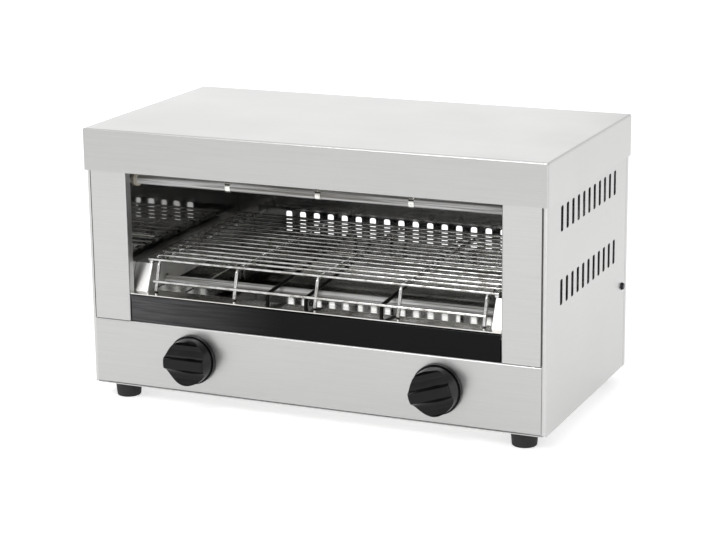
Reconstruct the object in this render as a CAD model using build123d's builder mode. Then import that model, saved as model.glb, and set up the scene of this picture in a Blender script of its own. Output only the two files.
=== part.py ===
# One-level salamander toaster: a stainless casing round an open oven with quartz heating tubes,
# a sliding wire rack with a fence, a crumb tray, and two black knobs on the front panel.
#
# Millimetres, +Z up. The front of the toaster faces -Y and its feet stand on Z = 0.
# The origin is the middle of the whole outline on the floor, knobs and screw heads included,
# so a place along the depth is given as its distance behind the front of the hood.

from build123d import *
from math import cos, radians, sin, tan
import os

os.makedirs("parts", exist_ok=True)

# Casing
width = 450.0              # over the hood
depth = 240.0              # over the hood, without the knobs
foot_height = 15.0         # floor to base plate
casing_height = 243.0      # underside of the base plate to the top of the hood
sheet = 1.0                # casing sheet
bend = 2.0                 # outside radius of a fold in casing sheet
hood_drop = 39.0           # flange of the hood
hood_clear = 0.5           # hood flange to the panels inside it
seam = 0.3                 # gap between pieces that lie side by side
flange = 14.0              # folded fixing flange
rear_wrap = 8.0            # rear panel's flange round the side
base_lip = 12.0            # upturned edge of the base plate

# Front
side_strip = 4.0           # side panel's flange seen beside the front frame
panel_height = 62.0        # control panel
panel_fold = 12.0          # its fold, top and bottom
stile = 42.5               # side of the opening, in from the side of the hood
opening_drop = 35.7        # top edge of the opening, below the top of the hood
opening_corner = 4.0
frame_drop = 5.4           # front frame, below the top of the hood
return_depth = 9.0         # front frame, folded into the opening

# Vent slots
slot_width = 6.5
slot_height = 23.0
slot_corner = 2.0
slot_pitch = 15.3
side_slots = 11
side_slot_depth = 41.0     # first side slot, behind the front of the hood
side_slot_rows = (83.0, 17.5)  # middle of each row, below the edge of the hood
rear_slots = 18
rear_slot_rise = 46.7      # above the control panel

# Oven
liner = 0.8                # sheet of the oven
liner_bend = 1.5           # outside radius of a fold in it
wall_gap = 4.0             # oven wall, outside the edge of the opening
wall_over = 11.0           # oven wall, above the top edge of the opening
wall_flange = 12.0
floor_overhang = 10.0      # oven floor, outside the oven walls
floor_lip = 6.0            # its downturned edge
reflector_drop = 11.3      # upper reflector over a tube, below the top of the oven wall
reflector_end = 5.0        # its front and rear edge, below that
reflector_ridge = 8.0      # its ridge between the tubes, below that
reflector_rear_gap = 5.2   # to the rear panel's flange
trough = 22.0              # flat of the reflector over a tube
reflector_bend = 3.0

# Heating tubes
tube_radius = 4.25
tube_wall = 0.9
coil_clear = 0.8           # coil in its tube
coil_short = 8.0           # coil shorter than its tube, at each end
upper_tube_drop = 14.7     # below the upper reflector
upper_tube_insets = (30.0, 70.0)  # from the front and from the rear of the hood
lower_tube_rise = 3.0      # above the sills
lower_tube_insets = (50.0, 68.0)
cap_radius = 6.3
cap_inside = 2.5           # end cap, into the oven
cap_flange_radius = 8.5
cap_flange = 2.5
cap_length = 14.0
cap_bore_depth = 10.0
cap_clear = 0.2            # cap in its hole, tube in its cap
tube_short = 0.5           # tube end to the bottom of its cap
tube_hole_clear = 1.0      # tube in the tube end cover
stud_radius = 2.0
stud_length = 10.0
stud_nut = 6.0             # across the flats
stud_nut_height = 3.0
clip_x = (-90.0, 0.0, 90.0)
clip_strip = 1.2
clip_width = 5.0
clip_clear = 0.2
clip_tab = 12.0
clip_mouth = 6.2           # its open side

# Tube end covers, sills and guard rods
cover_width = 17.0         # from the oven wall inwards
cover_height = 24.6        # it stands on the sills
cover_setback = 1.0        # foot of its slanted end, behind the front frame's fold
cover_slant = 12.0         # how far that end leans back
sill_width = 20.0
sill_lip = 5.0
guard_radius = 1.75
guard_x = (-49.5, -11.0, 63.0)
guard_rise = 4.0           # guard rods, up to the rear, in degrees
guard_clear = 0.9          # guard rods above the front lower tube
guard_inset = 2.9          # guard leg, in from the lip of its sill
guard_bend = 5.0

# Wire rack
side_rod_radius = 1.8
side_rod_seat = 1.5        # side rod, in from the inner edge of the tube end cover
post_radius = 1.8
post_inset = 8.7           # outer post, in from the side rod
post_count = 5
post_bend = 5.0
rail_angle = 65.0          # top rail on the outside of the bend, up from level
cross_radius = 1.4
cross_count = 14
rail_overhang = 0.3        # wires, past the side rods
weld = 0.5                 # welded wires sink this far into each other
fence_depth = 23.0         # bend of the posts, behind the front of the hood
fence_lean = 17.0          # posts, forward at their feet, in degrees
rack_rear_gap = 16.2       # to the rear panel's flange
mid_rail_rise = 10.0       # above the sills

# Crumb tray
tray_clear = 1.0           # tray to the edge of the opening
tray_lift = 0.4            # tray above the oven floor
tray_wall_drop = 5.5       # tray wall, below its front plate
tray_corner = 4.0
tray_bend = 2.0
tray_front_height = 24.5
tray_front_fold = 6.0
tray_front_gap = 1.0       # tray front plate to the sill above it
tray_inset = 0.7           # tray front behind the sheet of the front frame
tray_rear_gap = 5.2        # to the rear panel's flange
guide_height = 11.0
guide_clear = 0.5
guide_foot = 4.0

# Knobs and what they turn
knob_lift = 1.2            # above the middle of the control panel
selector_inset = 107.0     # from the side of the hood
timer_inset = 101.0
knob_radius = 23.0         # skirt
knob_waist = 22.0
knob_taper = 4.0           # degrees
knob_skirt = 3.0
knob_round = 2.0
knob_length = 21.0
knob_gap = 0.8             # skirt to the control panel
knob_grip = 9.0            # bar between the two finger hollows
knob_scoop_radius = 9.0
knob_scoop_lift = 1.0      # axis of a finger hollow, in front of the knob
selector_turn = 0.0        # degrees from level, where each bar points at rest
timer_turn = 18.0
knob_hollow_radius = 10.0  # hollow behind, round the nut
knob_hollow = 6.0
knob_bore_depth = 16.0
spindle_radius = 3.0
spindle_flat = 0.8
spindle_play = 0.05
spindle_inside = 14.0      # spindle, inside its switch or timer
spindle_short = 0.5        # spindle to the bottom of its bore
bush_radius = 5.0
bush_length = 5.0
nut_across = 14.0
nut_height = 2.6
small_clear = 0.1          # bush or grommet in its hole, nut on its bush
works_radius = 19.0        # round case of the switch and the timer
works_round = 1.5
plate_corner = 4.0
switch_size = 38.0
switch_plate = 4.0
switch_depth = 30.0
timer_size = 44.0
timer_plate = 8.0
timer_depth = 36.0
blade_width = 6.3
blade_thick = 0.8
blade_length = 8.0
blade_spacing = 12.0

# Supply
terminal_inset = 75.0      # from the side of the hood
terminal_rear = 45.0       # from the rear of the hood
terminal_length = 40.0
terminal_width = 22.0
terminal_height = 18.0
terminal_ways = 3
terminal_pitch = 12.0
terminal_well = 4.0
terminal_step = 6.0
cable_inset = 40.0
cable_rise = 27.0          # above the base plate
cable_radius = 4.5
grommet_radius = 8.0
grommet_lip = 1.8
grommet_flare = 2.0

# Feet and screws
foot_inset = 27.0          # from the side of the hood
foot_depth_inset = 21.0    # from its front and rear
foot_radius = 12.5
foot_taper = 5.0           # degrees
foot_round = 1.5
foot_well_radius = 5.0
foot_web = 7.0             # rubber above the screw head
screw_radius = 2.0
screw_hole = 2.2
screw_head_radius = 3.8
screw_head_top = 2.8
screw_head = 2.2
screw_length = 8.0
foot_screw_spare = 1.5     # past its nut
foot_nut = 7.0             # across the flats
foot_nut_height = 3.0
side_screw_inset = 18.0    # from the rear of the hood
side_screw_rise = 81.0     # above the base plate
rear_screw_rise = 30.0     # lower pair, above the base plate
rear_screw_drop = 68.0     # upper pair, below the top of the hood
hood_screw_inset = 75.0    # outer ones, from the side of the hood
hood_screw_rise = 13.0     # above the edge of the hood
bracket_leg = 20.0
bracket_sheet = 1.2
rivet_radius = 1.5
rivet_hole = 1.6
rivet_head_radius = 3.0
rivet_head = 1.0
rivet_drop = 4.0           # below the top of the oven wall
rivet_insets = (60.0, 40.0)  # outer rivets, from the front and rear of the hood

# Places worked out from the sizes above
knob_out = knob_length + knob_gap - sheet - hood_clear
front = -(depth + knob_out + screw_head) / 2 + knob_out
rear = front + depth
base_z = foot_height
top_z = base_z + casing_height
hood_edge = top_z - hood_drop
hood_screw_z = hood_edge + hood_screw_rise
body_x = width / 2 - sheet - hood_clear
within_x = body_x - sheet - seam
face_y = front + sheet + hood_clear
behind_face = face_y + sheet + seam
back_y = rear - sheet - hood_clear
before_back = back_y - sheet - seam
side_end = back_y - rear_wrap - seam
shelf_z = top_z - sheet - seam
hood_screw_x = (hood_screw_inset - width / 2, 0, width / 2 - hood_screw_inset)
slot_middle = front + side_slot_depth + slot_pitch * (side_slots - 1) / 2
lip_front = behind_face + sheet + seam
panel_bottom = base_z + sheet + seam
panel_top = panel_bottom + panel_height
frame_x = body_x - side_strip
frame_bottom = panel_top + seam
frame_top = top_z - frame_drop
opening_x = width / 2 - stile
opening_top = top_z - opening_drop
bracket_bottom = base_z + base_lip + seam
bracket_top = shelf_z - flange
rear_screw_x = within_x - bracket_leg / 2
rear_screw_z = (base_z + rear_screw_rise, top_z - rear_screw_drop)
side_screw_y = rear - side_screw_inset
side_screw_z = base_z + side_screw_rise
wall_x = opening_x + wall_gap
wall_bottom = panel_top + seam
wall_top = opening_top + wall_over
oven_x = wall_x - seam
floor_x = wall_x + liner + floor_overhang
floor_front = face_y + panel_fold + seam
within_return = face_y + return_depth + seam
tray_z = panel_top + tray_lift
tray_wall = tray_front_height - tray_wall_drop
sill_x = opening_x - seam
sill_z = tray_z + tray_front_height + tray_front_gap + liner
cover_foot = within_return + cover_setback
cover_x = oven_x - cover_width
cover_top = sill_z + cover_height
reflector_z = wall_top - reflector_drop
reflector_end_z = reflector_z - reflector_end
reflector_rear = before_back - reflector_rear_gap
rivet_z = wall_top - rivet_drop
rivet_y = (front + rivet_insets[0], (front + rear) / 2, rear - rivet_insets[1])
upper_tube_z = reflector_z - upper_tube_drop
upper_tube_y = (front + upper_tube_insets[0], rear - upper_tube_insets[1])
lower_tube_z = sill_z + lower_tube_rise
lower_tube_y = (front + lower_tube_insets[0], rear - lower_tube_insets[1])
coil_radius = tube_radius - tube_wall - coil_clear
guard_y = (behind_face + sill_width - guard_inset, before_back - sill_width + guard_inset)
guard_slope = tan(radians(guard_rise))
guard_front_z = lower_tube_z + tube_radius + guard_clear + guard_radius
guard_front_z -= (lower_tube_y[0] - guard_y[0]) * guard_slope
guard_rear_z = guard_front_z + (guard_y[1] - guard_y[0]) * guard_slope
cap_in = wall_x - cap_inside
cap_seat = wall_x + liner + seam
cap_out = cap_in + cap_length
tube_end = cap_in + cap_bore_depth - tube_short
rod_top = cover_top + seam + 2 * side_rod_radius
side_rod_x = cover_x + side_rod_seat
post_z = rod_top - post_radius
post_y = front + fence_depth
post_pitch = 2 * (side_rod_x - post_inset) / (post_count - 1)
lean = radians(fence_lean)
post_foot = sill_z + seam + post_radius * sin(lean)
post_foot_y = post_y - (post_z - post_foot) * tan(lean)
rail_arm = post_bend + post_radius + cross_radius - weld
rail_y = post_y + post_bend * (1 - sin(lean)) / cos(lean) - rail_arm * cos(radians(rail_angle))
rail_z = post_z - post_bend + rail_arm * sin(radians(rail_angle))
rail_x = side_rod_x + side_rod_radius + rail_overhang
cross_z = rod_top + cross_radius - weld
mid_rail_z = sill_z + mid_rail_rise
mid_rail_y = post_y - (post_z - mid_rail_z) * tan(lean) - (post_radius + cross_radius - weld) / cos(lean)
mid_rail_x = side_rod_x - post_inset + post_radius
rack_end = before_back - rack_rear_gap
cross_pitch = (rack_end - cross_radius - rail_y) / cross_count
tray_x = opening_x - tray_clear
tray_y = face_y + sheet + tray_inset
tray_end = before_back - tray_rear_gap
guide_x = tray_x + guide_clear
behind_panel = face_y + sheet
knob_z = panel_bottom + panel_height / 2 + knob_lift
selector_x = selector_inset - width / 2
timer_x = width / 2 - timer_inset
knob_y = face_y - knob_gap
spindle_end = behind_panel + spindle_inside
bush_y = behind_panel - bush_length
spindle_tip = knob_y - knob_bore_depth + spindle_short
terminal_x = width / 2 - terminal_inset
terminal_y = rear - terminal_rear
cable_x = width / 2 - cable_inset
cable_z = base_z + cable_rise
foot_x = width / 2 - foot_inset
foot_y = (front + foot_depth_inset, rear - foot_depth_inset)
foot_well = foot_height - foot_web
foot_screw_length = foot_web + sheet + foot_nut_height + foot_screw_spare


def publish(piece, name):
    """Names a finished piece and writes it to its own file."""
    piece.part.label = name
    export_step(piece.part, f"parts/{name}.step")


def pair(piece, name):
    """Writes a right-hand piece and its left-hand twin."""
    publish(piece, f"{name}_right")
    with BuildPart() as twin:
        add(piece.part.mirror(Plane.YZ))
    publish(twin, f"{name}_left")


def upright(y):
    """Plane that faces the front at y, with its own y axis up."""
    return Plane.XZ.offset(-y)


def screws(seats, length):
    """Pan head screws, each with its head on a seat plane and its shank going in."""
    with BuildPart() as group:
        with Locations(*seats):
            Cone(screw_head_radius, screw_head_top, screw_head, align=(Align.CENTER, Align.CENTER, Align.MIN))
            Cylinder(screw_radius, length, align=(Align.CENTER, Align.CENTER, Align.MAX))
    return group


# Hood: folded on all four sides, open below
with BuildPart() as hood:
    with BuildSketch(Plane.XY.offset(hood_edge)):
        with Locations((0, (front + rear) / 2)):
            RectangleRounded(width, depth, bend)
    extrude(amount=hood_drop)
    fillet(hood.faces().sort_by(Axis.Z)[-1].edges(), 0.99 * bend)
    offset(amount=-sheet, openings=hood.faces().sort_by(Axis.Z)[0])
    with BuildSketch(upright(rear)):
        with Locations([(x, hood_screw_z) for x in hood_screw_x]):
            Circle(screw_hole)
    extrude(amount=2 * sheet, mode=Mode.SUBTRACT)
publish(hood, "hood")

# Side panel: folded in at the front and the top, with two rows of vent slots
with BuildPart() as side_panel:
    with BuildSketch(Plane.XY.offset(base_z)):
        with Locations((body_x, behind_face)):
            Rectangle(flange, side_end - behind_face, align=(Align.MAX, Align.MIN))
    extrude(amount=shelf_z - base_z)
    side_edges = side_panel.faces().sort_by(Axis.X)[-1].edges()
    fillet([side_edges.sort_by(Axis.Y)[0], side_edges.sort_by(Axis.Z)[-1]], bend)
    open_faces = [
        side_panel.faces().sort_by(Axis.X)[0],
        side_panel.faces().sort_by(Axis.Y)[-1],
        side_panel.faces().sort_by(Axis.Z)[0],
    ]
    offset(amount=-sheet, openings=open_faces)
    with BuildSketch(Plane.YZ.offset(body_x)):
        with Locations(*[(slot_middle, hood_edge - drop) for drop in side_slot_rows]):
            with GridLocations(slot_pitch, slot_height, side_slots, 1):
                RectangleRounded(slot_width, slot_height, slot_corner)
        with Locations((side_screw_y, side_screw_z)):
            Circle(screw_hole)
    extrude(amount=-2 * sheet, mode=Mode.SUBTRACT)
    # The front fold ends above the base plate
    with BuildSketch(Plane.XY.offset(base_z)):
        with Locations((body_x - sheet, behind_face)):
            Rectangle(flange, bend, align=(Align.MAX, Align.MIN))
    extrude(amount=sheet + seam, mode=Mode.SUBTRACT)
pair(side_panel, "side_panel")

# Rear panel: wraps round both sides, with a row of slots behind the oven
with BuildPart() as rear_panel:
    with BuildSketch(Plane.XY.offset(base_z)):
        with Locations((0, back_y)):
            Rectangle(2 * body_x, rear_wrap, align=(Align.CENTER, Align.MAX))
    extrude(amount=shelf_z - base_z)
    fillet(rear_panel.faces().sort_by(Axis.Y)[-1].edges().filter_by(Axis.Z), bend)
    open_faces = [
        rear_panel.faces().sort_by(Axis.Y)[0],
        rear_panel.faces().sort_by(Axis.Z)[0],
        rear_panel.faces().sort_by(Axis.Z)[-1],
    ]
    offset(amount=-sheet, openings=open_faces)
    with BuildSketch(upright(back_y)):
        with Locations((0, panel_top + rear_slot_rise)):
            with GridLocations(slot_pitch, slot_height, rear_slots, 1):
                RectangleRounded(slot_width, slot_height, slot_corner)
        with Locations([(side * rear_screw_x, z) for side in (-1, 1) for z in rear_screw_z]):
            Circle(screw_hole)
        with Locations([(x, hood_screw_z) for x in hood_screw_x]):
            Circle(screw_hole)
        with Locations((cable_x, cable_z)):
            Circle(grommet_radius + small_clear)
    extrude(amount=2 * sheet, mode=Mode.SUBTRACT)
publish(rear_panel, "rear_panel")

# Base plate: a shallow tray that carries the feet, with a tongue under the control panel
with BuildPart() as base_plate:
    with BuildSketch(Plane.XY.offset(base_z)):
        with Locations((0, before_back)):
            Rectangle(2 * within_x, before_back - lip_front, align=(Align.CENTER, Align.MAX))
    extrude(amount=base_lip)
    fillet(base_plate.faces().sort_by(Axis.Z)[0].edges().sort_by(Axis.Y)[1:], bend)
    open_faces = [base_plate.faces().sort_by(Axis.Z)[-1], base_plate.faces().sort_by(Axis.Y)[0]]
    offset(amount=-sheet, openings=open_faces)
    with BuildSketch(Plane.XY.offset(base_z)):
        with Locations((0, behind_panel)):
            Rectangle(2 * (within_x - bend), lip_front - behind_panel, align=(Align.CENTER, Align.MIN))
    extrude(amount=sheet)
    with BuildSketch(Plane.XY.offset(base_z)):
        with Locations([(side * foot_x, y) for side in (-1, 1) for y in foot_y]):
            Circle(screw_hole)
    extrude(amount=sheet, mode=Mode.SUBTRACT)
publish(base_plate, "base_plate")

# Corner bracket: an angle inside the rear corner, for the side and rear screws
with BuildPart() as corner_bracket:
    with BuildSketch(Plane.XY.offset(bracket_bottom)):
        with Locations((within_x, before_back)):
            Rectangle(bracket_leg, bracket_leg, align=(Align.MAX, Align.MAX))
    extrude(amount=bracket_top - bracket_bottom)
    fillet(corner_bracket.faces().sort_by(Axis.X)[-1].edges().sort_by(Axis.Y)[-1], bend)
    open_faces = [
        corner_bracket.faces().sort_by(Axis.X)[0],
        corner_bracket.faces().sort_by(Axis.Y)[0],
        corner_bracket.faces().sort_by(Axis.Z)[0],
        corner_bracket.faces().sort_by(Axis.Z)[-1],
    ]
    offset(amount=-bracket_sheet, openings=open_faces)
    with BuildSketch(Plane.YZ.offset(within_x)):
        with Locations((side_screw_y, side_screw_z)):
            Circle(screw_hole)
    extrude(amount=-2 * bracket_sheet, mode=Mode.SUBTRACT)
    with BuildSketch(upright(before_back)):
        with Locations([(rear_screw_x, z) for z in rear_screw_z]):
            Circle(screw_hole)
    extrude(amount=2 * bracket_sheet, mode=Mode.SUBTRACT)
pair(corner_bracket, "corner_bracket")

# Front frame: two stiles and a rail, folded back into the opening
with BuildPart() as front_frame:
    with BuildSketch(upright(face_y)):
        with Locations((0, frame_bottom)):
            Rectangle(2 * frame_x, frame_top - frame_bottom, align=(Align.CENTER, Align.MIN))
            Rectangle(
                2 * opening_x, opening_top - frame_bottom,
                align=(Align.CENTER, Align.MIN), mode=Mode.SUBTRACT,
            )
    extrude(amount=-return_depth)
    fillet(front_frame.edges().filter_by(Axis.Y).group_by(Axis.Z)[1], opening_corner)
    rim = front_frame.faces().sort_by(Axis.Y)[0].edges().filter_by(
        lambda edge: abs(edge.center().X) < opening_x + sheet
        and frame_bottom < edge.center().Z <= opening_top
    )
    fillet(rim, bend)
    open_faces = [
        *front_frame.faces().filter_by(Axis.X).group_by(lambda face: abs(face.center().X))[-1],
        *front_frame.faces().filter_by(Axis.Z).group_by(Axis.Z)[0],
        front_frame.faces().sort_by(Axis.Z)[-1],
        front_frame.faces().sort_by(Axis.Y)[-1],
    ]
    offset(amount=-sheet, openings=open_faces)
publish(front_frame, "front_frame")

# Control panel: a channel whose folds end short of the side panels' folds
with BuildPart() as control_panel:
    with BuildSketch(upright(face_y)):
        with Locations((0, panel_bottom)):
            Rectangle(2 * frame_x, panel_height, align=(Align.CENTER, Align.MIN))
    extrude(amount=-panel_fold)
    fillet(control_panel.faces().sort_by(Axis.Y)[0].edges().filter_by(Axis.X), bend)
    open_faces = [
        *control_panel.faces().filter_by(Axis.X),
        control_panel.faces().sort_by(Axis.Y)[-1],
    ]
    offset(amount=-sheet, openings=open_faces)
    with BuildSketch(upright(behind_panel)):
        with Locations([(side * body_x, panel_bottom + panel_height / 2) for side in (-1, 1)]):
            Rectangle(2 * (flange + seam), panel_height)
    extrude(amount=-panel_fold, mode=Mode.SUBTRACT)
    with BuildSketch(upright(face_y)):
        with Locations([(selector_x, knob_z), (timer_x, knob_z)]):
            Circle(bush_radius + small_clear)
    extrude(amount=-sheet, mode=Mode.SUBTRACT)
publish(control_panel, "control_panel")

# Oven wall: a polished sheet with a flange at each end and a hole for each tube end
with BuildPart() as inner_wall:
    with BuildSketch(Plane.XY.offset(wall_bottom)):
        with Locations((wall_x, behind_face)):
            Rectangle(wall_flange, before_back - behind_face, align=(Align.MIN, Align.MIN))
    extrude(amount=wall_top - wall_bottom)
    fillet(inner_wall.faces().sort_by(Axis.X)[0].edges().filter_by(Axis.Z), liner_bend)
    open_faces = [
        inner_wall.faces().sort_by(Axis.X)[-1],
        inner_wall.faces().sort_by(Axis.Z)[0],
        inner_wall.faces().sort_by(Axis.Z)[-1],
    ]
    offset(amount=-liner, openings=open_faces)
    with BuildSketch(Plane.YZ.offset(wall_x)):
        with Locations([(y, upper_tube_z) for y in upper_tube_y], [(y, lower_tube_z) for y in lower_tube_y]):
            Circle(cap_radius + cap_clear)
        with Locations([(y, rivet_z) for y in rivet_y]):
            Circle(rivet_hole)
    extrude(amount=liner, mode=Mode.SUBTRACT)
pair(inner_wall, "inner_wall")

# Oven floor: a pan turned upside down, which the crumb tray slides on
with BuildPart() as oven_floor:
    with BuildSketch(Plane.XY.offset(panel_top - floor_lip)):
        with Locations((0, floor_front)):
            Rectangle(2 * floor_x, before_back - floor_front, align=(Align.CENTER, Align.MIN))
    extrude(amount=floor_lip)
    fillet(oven_floor.faces().sort_by(Axis.Z)[-1].edges(), liner_bend)
    offset(amount=-liner, openings=oven_floor.faces().sort_by(Axis.Z)[0])
publish(oven_floor, "oven_floor")

# Tray guide: an angle on the oven floor beside the tray
with BuildPart() as tray_guide:
    with BuildSketch(upright(floor_front)):
        with Locations((guide_x, panel_top)):
            Rectangle(guide_foot, guide_height, align=(Align.MIN, Align.MIN))
    extrude(amount=floor_front - tray_end)
    fillet(tray_guide.faces().sort_by(Axis.X)[0].edges().sort_by(Axis.Z)[0], liner_bend)
    open_faces = [
        tray_guide.faces().sort_by(Axis.X)[-1],
        tray_guide.faces().sort_by(Axis.Y)[0],
        tray_guide.faces().sort_by(Axis.Y)[-1],
        tray_guide.faces().sort_by(Axis.Z)[-1],
    ]
    offset(amount=-liner, openings=open_faces)
pair(tray_guide, "tray_guide")

# Crumb tray: a pan with a taller front plate, folded back along its top edge
with BuildPart() as crumb_tray:
    with BuildSketch(Plane.XY.offset(tray_z)):
        with Locations((0, tray_y)):
            Rectangle(2 * tray_x, tray_end - tray_y, align=(Align.CENTER, Align.MIN))
    extrude(amount=tray_wall)
    fillet(crumb_tray.faces().sort_by(Axis.Y)[-1].edges().filter_by(Axis.Z), tray_corner)
    fillet(crumb_tray.faces().sort_by(Axis.Z)[0].edges(), tray_bend)
    offset(amount=-liner, openings=crumb_tray.faces().sort_by(Axis.Z)[-1])
    with BuildSketch(Plane.YZ.offset(-tray_x)):
        with BuildLine():
            plate = FilletPolyline(
                (tray_y, tray_z),
                (tray_y, tray_z + tray_front_height),
                (tray_y + tray_front_fold, tray_z + tray_front_height),
                radius=liner_bend,
            )
            offset(plate, amount=liner, side=Side.RIGHT)
        make_face()
    extrude(amount=2 * tray_x)
publish(crumb_tray, "crumb_tray")

# Sills: strips across the oven above the tray, with their lips turned down on the oven side
sill_ends = ((behind_face, 1), (before_back, -1))
for (sill_edge, inwards), sill_name in zip(sill_ends, ("front_sill", "rear_sill")):
    with BuildPart() as sill:
        with BuildSketch(Plane.YZ.offset(-sill_x)):
            with BuildLine():
                strip = FilletPolyline(
                    (sill_edge, sill_z),
                    (sill_edge + inwards * sill_width, sill_z),
                    (sill_edge + inwards * sill_width, sill_z - sill_lip),
                    radius=liner_bend,
                )
                offset(strip, amount=liner, side=Side.RIGHT if inwards > 0 else Side.LEFT)
            make_face()
        extrude(amount=2 * sill_x)
    publish(sill, sill_name)

# Tube end cover: a hollow runner along the oven wall, its bright front end leaning back
with BuildPart() as tube_cover:
    with BuildSketch(Plane.YZ.offset(cover_x)):
        with BuildLine():
            Polyline(
                (cover_foot, sill_z),
                (cover_foot + cover_slant, cover_top),
                (before_back, cover_top),
                (before_back, sill_z),
                close=True,
            )
        make_face()
    extrude(amount=cover_width)
    fillet(tube_cover.faces().sort_by(Axis.X)[0].edges().sort_by(Axis.Z)[1:], liner_bend)
    open_faces = [tube_cover.faces().sort_by(Axis.Z)[0], tube_cover.faces().sort_by(Axis.X)[-1]]
    offset(amount=-liner, openings=open_faces)
    with BuildSketch(Plane.YZ.offset(cover_x)):
        with Locations([(y, lower_tube_z) for y in lower_tube_y]):
            Circle(tube_radius + tube_hole_clear)
    extrude(amount=liner, mode=Mode.SUBTRACT)
pair(tube_cover, "tube_cover")

# Upper reflector: two troughs over the upper tubes, with a flange up each oven wall
with BuildPart() as upper_reflector:
    with BuildSketch(Plane.YZ.offset(-oven_x)):
        with BuildLine():
            under = FilletPolyline(
                (within_return, reflector_end_z),
                (upper_tube_y[0] - trough / 2, reflector_z),
                (upper_tube_y[0] + trough / 2, reflector_z),
                (sum(upper_tube_y) / 2, reflector_z - reflector_ridge),
                (upper_tube_y[1] - trough / 2, reflector_z),
                (upper_tube_y[1] + trough / 2, reflector_z),
                (reflector_rear, reflector_end_z),
                radius=reflector_bend,
            )
            Polyline(
                under @ 1,
                (reflector_rear, wall_top),
                (within_return, wall_top),
                under @ 0,
            )
        make_face()
    extrude(amount=2 * oven_x)
    open_faces = [
        upper_reflector.faces().sort_by(Axis.Z)[-1],
        upper_reflector.faces().filter_by(Axis.Y).sort_by(Axis.Y)[0],
        upper_reflector.faces().filter_by(Axis.Y).sort_by(Axis.Y)[-1],
    ]
    offset(amount=-liner, openings=open_faces)
    with BuildSketch(Plane.YZ.offset(-oven_x)):
        with Locations([(y, rivet_z) for y in rivet_y]):
            Circle(rivet_hole)
    extrude(amount=2 * oven_x, mode=Mode.SUBTRACT)
publish(upper_reflector, "upper_reflector")

# Rivets through the reflector's flanges and the oven walls
with BuildPart() as rivets:
    for side in (-1, 1):
        for y in rivet_y:
            with Locations(Plane(origin=(side * (wall_x + liner), y, rivet_z), z_dir=(side, 0, 0))):
                Cone(
                    rivet_head_radius, rivet_radius, rivet_head, align=(Align.CENTER, Align.CENTER, Align.MIN)
                )
                Cylinder(
                    rivet_radius, 2 * liner + seam + rivet_head, align=(Align.CENTER, Align.CENTER, Align.MAX)
                )
            with Locations(Plane(origin=(side * (oven_x - liner), y, rivet_z), z_dir=(-side, 0, 0))):
                Cylinder(
                    rivet_head_radius, rivet_head, align=(Align.CENTER, Align.CENTER, Align.MIN)
                )
publish(rivets, "rivets")

# Heating tubes of quartz, each with its two ceramic end caps
tube_seats = {
    "upper_tube_front": (upper_tube_y[0], upper_tube_z),
    "upper_tube_rear": (upper_tube_y[1], upper_tube_z),
    "lower_tube_front": (lower_tube_y[0], lower_tube_z),
    "lower_tube_rear": (lower_tube_y[1], lower_tube_z),
}
for tube_name, seat in tube_seats.items():
    with BuildPart() as tube:
        with BuildSketch(Plane.YZ):
            with Locations(seat):
                Circle(tube_radius)
                Circle(tube_radius - tube_wall, mode=Mode.SUBTRACT)
        extrude(amount=tube_end, both=True)
    publish(tube, tube_name)
    with BuildPart() as caps:
        with BuildSketch(Plane.YZ.offset(cap_in)):
            with Locations(seat):
                Circle(cap_radius)
        extrude(amount=cap_length)
        with BuildSketch(Plane.YZ.offset(cap_seat)):
            with Locations(seat):
                Circle(cap_flange_radius)
        extrude(amount=cap_flange)
        with BuildSketch(Plane.YZ.offset(cap_in)):
            with Locations(seat):
                Circle(tube_radius + cap_clear)
        extrude(amount=cap_bore_depth, mode=Mode.SUBTRACT)
        mirror(about=Plane.YZ)
    publish(caps, f"{tube_name}_caps")

# Heating coils, one inside each tube
with BuildPart() as heating_coils:
    with BuildSketch(Plane.YZ):
        with Locations(*tube_seats.values()):
            Circle(coil_radius)
    extrude(amount=tube_end - coil_short, both=True)
publish(heating_coils, "heating_coils")

# Terminal studs with their nuts, one on each end cap
with BuildPart() as tube_terminals:
    with BuildSketch(Plane.YZ.offset(cap_out)):
        with Locations(*tube_seats.values()):
            RegularPolygon(stud_nut / 2, 6, major_radius=False)
    extrude(amount=stud_nut_height)
    with BuildSketch(Plane.YZ.offset(cap_out)):
        with Locations(*tube_seats.values()):
            Circle(stud_radius)
    extrude(amount=stud_length)
    mirror(about=Plane.YZ)
publish(tube_terminals, "tube_terminals")

# Clips that hang the upper tubes from the reflector, open below
clip_inner = tube_radius + clip_clear
clip_outer = clip_inner + clip_strip
with BuildPart() as tube_clips:
    for x in clip_x:
        with BuildSketch(Plane.YZ.offset(x - clip_width / 2)):
            for y in upper_tube_y:
                with Locations((y, upper_tube_z)):
                    Circle(clip_outer)
                    Rectangle(clip_strip, upper_tube_drop, align=(Align.CENTER, Align.MIN))
                with Locations((y, reflector_z)):
                    Rectangle(clip_tab, clip_strip, align=(Align.CENTER, Align.MAX))
            for y in upper_tube_y:
                with Locations((y, upper_tube_z)):
                    Circle(clip_inner, mode=Mode.SUBTRACT)
                    Rectangle(
                        clip_mouth, clip_outer, align=(Align.CENTER, Align.MAX), mode=Mode.SUBTRACT
                    )
        extrude(amount=clip_width)
publish(tube_clips, "tube_clips")

# Guard rods over the lower tubes, standing on the sills
with BuildPart() as guard_rods:
    for x in guard_x:
        with BuildLine():
            rod = FilletPolyline(
                (x, guard_y[0], sill_z),
                (x, guard_y[0], guard_front_z),
                (x, guard_y[1], guard_rear_z),
                (x, guard_y[1], sill_z),
                radius=guard_bend,
            )
        with BuildSketch(Plane(origin=rod @ 0, z_dir=(0, 0, 1))):
            Circle(guard_radius)
        sweep(path=rod)
publish(guard_rods, "guard_rods")

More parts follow.
